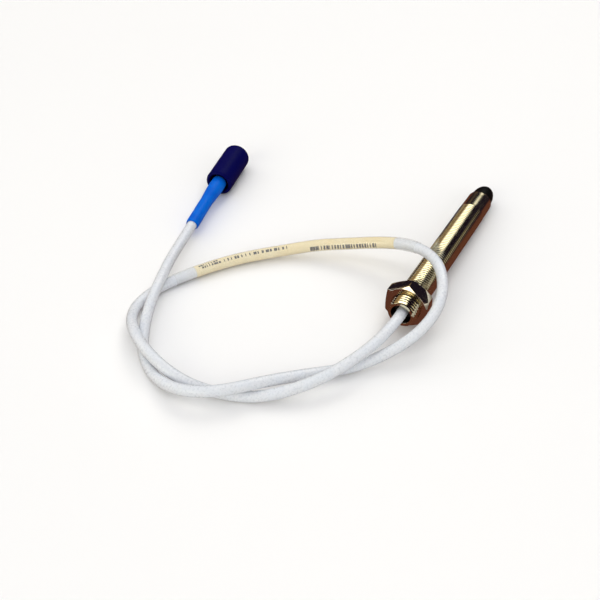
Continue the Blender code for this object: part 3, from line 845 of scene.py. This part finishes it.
def make_cap():
    """The push-on cap: a blind bore, a rounded rim and end, and sides that bulge a little."""
    length, radius, bore = CAP_LENGTH, CAP_RADIUS, CAP_BORE_RADIUS
    inner, rim, rounding = CAP_BORE_ROUNDING, CAP_RIM_ROUNDING, CAP_END_ROUNDING
    bore_end = length - CAP_END_WALL
    outline = [(0.0, bore_end), (bore - inner, bore_end)]
    outline += arc((bore - inner, bore_end - inner), inner, 90, 0, 4)[1:]
    outline += [(bore, rim)]
    outline += arc((bore + inner, inner), inner, 180, 270, 5)
    outline += arc((radius - rim, rim), rim, -90, 0, 8)
    outline += [(radius - 0.03 * MM, 3.0 * MM), (radius, 9.0 * MM)]
    outline += [(radius - 0.02 * MM, length - rounding)]
    outline += arc((radius - rounding, length - rounding), rounding, 4, 84, 12)
    outline += [(1.6 * MM, length - 0.02 * MM), (0.0, length)]
    mesh = turned("push_on_cap", outline, CAP_COLUMNS, False, CAP_SHARP_ANGLE)
    cap = show("push_on_cap", mesh, CONNECTOR)
    return stand_for(cap, "dust_cap", "navy_plastic", "dust_cap")


cable, cable_path = make_cable()
films = make_films()
blue_sleeve = make_blue_sleeve()
ferrule = make_ferrule()
make_coupling_nut()
cap = make_cap()


# ---------------------------------------------------------------- probe

def make_case():
    """The tube: threaded from its rear chamfer to its plain, slimmer front, with an open bore."""
    radii, heights = thread(CASE_COLUMNS, 0.0, CASE_LENGTH, 0.0)
    heights = np.clip(heights, 0.0, CASE_LENGTH)
    rear_limit = MAJOR_RADIUS - CASE_CHAMFER + heights
    plain = heights > THREAD_END
    taper = np.clip(1 - (heights - THREAD_END) / CASE_FRONT_TAPER_LENGTH, 0.0, 1.0)
    radii = np.where(plain, CASE_FRONT_RADIUS + CASE_FRONT_TAPER * taper, radii)
    front_limit = CASE_FRONT_RADIUS - CASE_CHAMFER + (CASE_LENGTH - heights)
    radii = np.minimum(radii, np.minimum(rear_limit, front_limit))
    mouth = BORE_RADIUS + BORE_EDGE
    ones = np.ones(CASE_COLUMNS + 1)
    bore = [(BORE_RADIUS, CASE_LENGTH - BORE_EDGE), (BORE_RADIUS, BORE_EDGE), (mouth, 0.0)]
    radii = np.vstack([*[ones * r for r, _ in bore], radii, ones * mouth])
    heights = np.vstack([*[ones * z for _, z in bore], heights, ones * CASE_LENGTH])
    mesh = grid("threaded_case", to_points(radii, heights, CASE_COLUMNS), True, CASE_SHARP_ANGLE)
    stand_for(show("threaded_case", mesh, PROBE), "case", "case_steel", "probe")


def make_nut():
    """The hexagon with its 30 degree chamfers, broken edges and a thread that meshes with the case's."""
    low, high = NUT_SPAN
    flats = np.radians(30 + 60 * np.arange(6))
    mouth = MAJOR_RADIUS + NUT_MOUTH
    slope = math.tan(math.radians(NUT_CHAMFER_ANGLE))
    softness = NUT_CORNER_SOFTNESS
    columns = []
    for angle in around(NUT_COLUMNS):
        # How far out the flats that face this way let the nut reach
        facing = [math.cos(angle - flat) for flat in flats]
        reaches = [NUT_ACROSS_FLATS / 2 / c for c in facing if c > 0.5]
        nearest = min(reaches)
        corner = nearest - softness * math.log(sum(math.exp((nearest - r) / softness) for r in reaches))
        rise = (corner - NUT_FACE_RADIUS) * slope
        outline = [
            (mouth, low),
            (NUT_FACE_RADIUS, low),
            (corner, low + rise),
            (corner, high - rise),
            (NUT_FACE_RADIUS, high),
            (mouth, high),
        ]
        columns.append(rounded(outline, NUT_EDGE))
    columns = np.array(columns)
    radii, heights = thread(NUT_COLUMNS, low, high, NUT_CLEARANCE)
    heights = np.clip(heights, low, high)
    sink = MAJOR_RADIUS + NUT_COUNTERSINK - np.minimum(heights - low, high - heights)
    radii = np.maximum(radii, sink)
    radii = np.vstack([columns[:, :, 0].T, radii[::-1]])
    heights = np.vstack([columns[:, :, 1].T, heights[::-1]])
    mesh = grid("hex_nut", to_points(radii, heights, NUT_COLUMNS), True, NUT_SHARP_ANGLE)
    stand_for(show("hex_nut", mesh, PROBE), "jam_nut", "nut_steel", "jam_nut")


def make_tip():
    """The cup: its shank stands in the case's bore, and its dome covers most of the case's front face."""
    base = PROBE_LENGTH - TIP_DOME_LENGTH
    step = CASE_LENGTH + TIP_GAP
    shank = CASE_LENGTH - TIP_SHANK_LENGTH
    cup = TIP_SHANK_RADIUS - TIP_CUP_WALL
    cup_end = PROBE_LENGTH - TIP_END_WALL
    outline = [(0.0, cup_end), (cup, cup_end), (cup, shank)]
    outline += [(TIP_SHANK_RADIUS, shank), (TIP_SHANK_RADIUS, step)]
    outline += [(TIP_RADIUS - TIP_RIM_EDGE, step), (TIP_RADIUS, step + TIP_RIM_EDGE)]
    for angle in np.radians(np.linspace(0.0, 90.0, TIP_DOME_STEPS + 1)[:-1]):
        across = math.cos(angle) ** (2 / TIP_DOME_POWER)
        rise = math.sin(angle) ** (2 / TIP_DOME_POWER)
        outline.append((TIP_RADIUS * across, base + TIP_DOME_LENGTH * rise))
    outline.append((0.0, PROBE_LENGTH))
    mesh = turned("domed_tip", outline, TIP_COLUMNS, False, TIP_SHARP_ANGLE)
    stand_for(show("domed_tip", mesh, PROBE), "tip", "tip_plastic", "probe")


make_case()
make_nut()
make_tip()

INNER_SHARP_ANGLE = 35

# The pieces that the model already shapes: the case's inside, and the connector's core
for node_name, slot in (
    ("coil_former", "bobbin_plastic"),
    ("coil_winding", "copper"),
    ("cable_end_jacket", "inner_plastic"),
    ("outer_braid", "braid"),
    ("inner_jacket", "inner_plastic"),
    ("inner_braid", "braid"),
    ("dielectric", "inner_plastic"),
    ("centre_conductor", "copper"),
    ("rear_seal", "epoxy"),
    ("cable_anchor", "case_steel"),
    ("front_potting", "epoxy"),
    ("signal_lead", "copper"),
    ("return_lead", "copper"),
    ("connector_body", "gold_plate"),
    ("connector_insulator", "inner_plastic"),
    ("connector_pin", "gold_plate"),
    ("snap_ring", "gold_plate"),
    ("gasket", "seal_rubber"),
):
    node = frame["nodes"][node_name]
    dress(node, slot)
    node.data.shade_smooth()
    node.data.set_sharp_from_angle(angle=math.radians(INNER_SHARP_ANGLE))


# ---------------------------------------------------------------- studio

FLOOR_RADIUS = 3.0
FLOOR_COLUMNS = 96
FLOOR_DROP = 0.05 * MM
FLOOR_COLOUR = (0.93, 0.93, 0.93)


def make_floor():
    """A white disk just under the object; the metal doesn't mirror it."""
    mesh = turned("floor", [(0.0, 0.0), (FLOOR_RADIUS, 0.0)], FLOOR_COLUMNS, False)
    floor = show("floor", mesh)
    floor.location.z = -FLOOR_DROP
    look = Look("floor", FLOOR_COLOUR, 0.7)
    look.colour(look.mix(look.noise(3.0), FLOOR_COLOUR, (0.90, 0.90, 0.905)))
    mesh.materials.append(look.material)
    floor.visible_glossy = False


# The surroundings below and above the horizon, and the heights that they blend between
LOWER_COLOUR = (0.12, 0.042, 0.028, 1.0)
UPPER_COLOUR = (0.012, 0.008, 0.016, 1.0)
HORIZON = (-0.12, -0.02)

# Soft patches of the surroundings, which the metal mirrors: direction, inner and outer radius in degrees,
# colour and strength
PATCHES = [
    ((-0.90, 0.20, 0.36), 12, 22, (1.0, 0.96, 0.78), 3.0),
    ((-0.74, 0.62, 0.26), 8, 18, (1.0, 0.66, 0.30), 0.3),
    ((0.70, 0.02, 0.72), 9, 17, (1.0, 0.98, 0.86), 3.0),
    ((0.64, 0.62, 0.42), 6, 19, (0.95, 0.66, 0.34), 0.4),
    ((0.70, -0.57, 0.42), 3, 7, (1.0, 0.96, 0.78), 0.5),
    ((0.64, -0.74, 0.20), 2, 5, (1.0, 0.80, 0.66), 1.4),
    ((-0.20, 0.85, 0.48), 8, 22, (1.0, 0.97, 0.92), 1.5),
    ((-0.10, -0.93, 0.35), 8, 20, (1.0, 0.97, 0.92), 1.2),
]


def make_world():
    """Dark surroundings with the bright patches in them."""
    world = bpy.data.worlds.new("studio")
    world.use_nodes = True
    tree = world.node_tree
    bpy.context.scene.world = world
    vector = "ShaderNodeVectorMath"
    direction = add_node(tree, "ShaderNodeTexCoord", {}, "Generated")
    height = add_node(tree, "ShaderNodeSeparateXYZ", {0: direction}, 2)
    span = {"Value": height, "From Min": HORIZON[0], "From Max": HORIZON[1]}
    above = add_node(tree, "ShaderNodeMapRange", span)
    ends = {0: above, 6: LOWER_COLOUR, 7: UPPER_COLOUR}
    total = add_node(tree, "ShaderNodeMix", ends, 2, data_type="RGBA")
    for toward, inner, outer, colour, strength in PATCHES:
        middle = Vector(toward).normalized()
        facing = add_node(tree, vector, {0: direction, 1: middle}, 1, operation="DOT_PRODUCT")
        low, high = math.cos(math.radians(outer)), math.cos(math.radians(inner))
        span = {"Value": facing, "From Min": low, "From Max": high}
        spot = add_node(tree, "ShaderNodeMapRange", span, interpolation_type="SMOOTHSTEP")
        light = tuple(part * strength for part in colour)
        lit = add_node(tree, vector, {0: light, 3: spot}, operation="SCALE")
        total = add_node(tree, vector, {0: total, 1: lit}, operation="ADD")
    background = tree.nodes["Background"]
    tree.links.new(total, background.inputs["Color"])


LIGHT_SIZE = 2.6

# Name, place, watts and colour of each light
LIGHTS = [
    ("key", (0.5, 0.35, 1.2), 18.5, (0.99, 0.99, 1.0)),
    ("fill", (-0.8, -0.6, 1.1), 16.0, (0.97, 0.98, 1.0)),
]


def area_light(name, location, energy, colour):
    """A round light that faces the origin; the metal doesn't mirror it."""
    data = bpy.data.lights.new(name, "AREA")
    data.shape = "DISK"
    data.size = LIGHT_SIZE
    data.energy = energy
    data.color = colour
    light = bpy.data.objects.new(name, data)
    light.location = location
    light.rotation_euler = (-Vector(location)).to_track_quat("-Z", "Y").to_euler()
    light.visible_glossy = False
    bpy.context.scene.collection.objects.link(light)


make_floor()
make_world()
for settings in LIGHTS:
    area_light(*settings)
bpy.context.scene.view_settings.view_transform = "Standard"
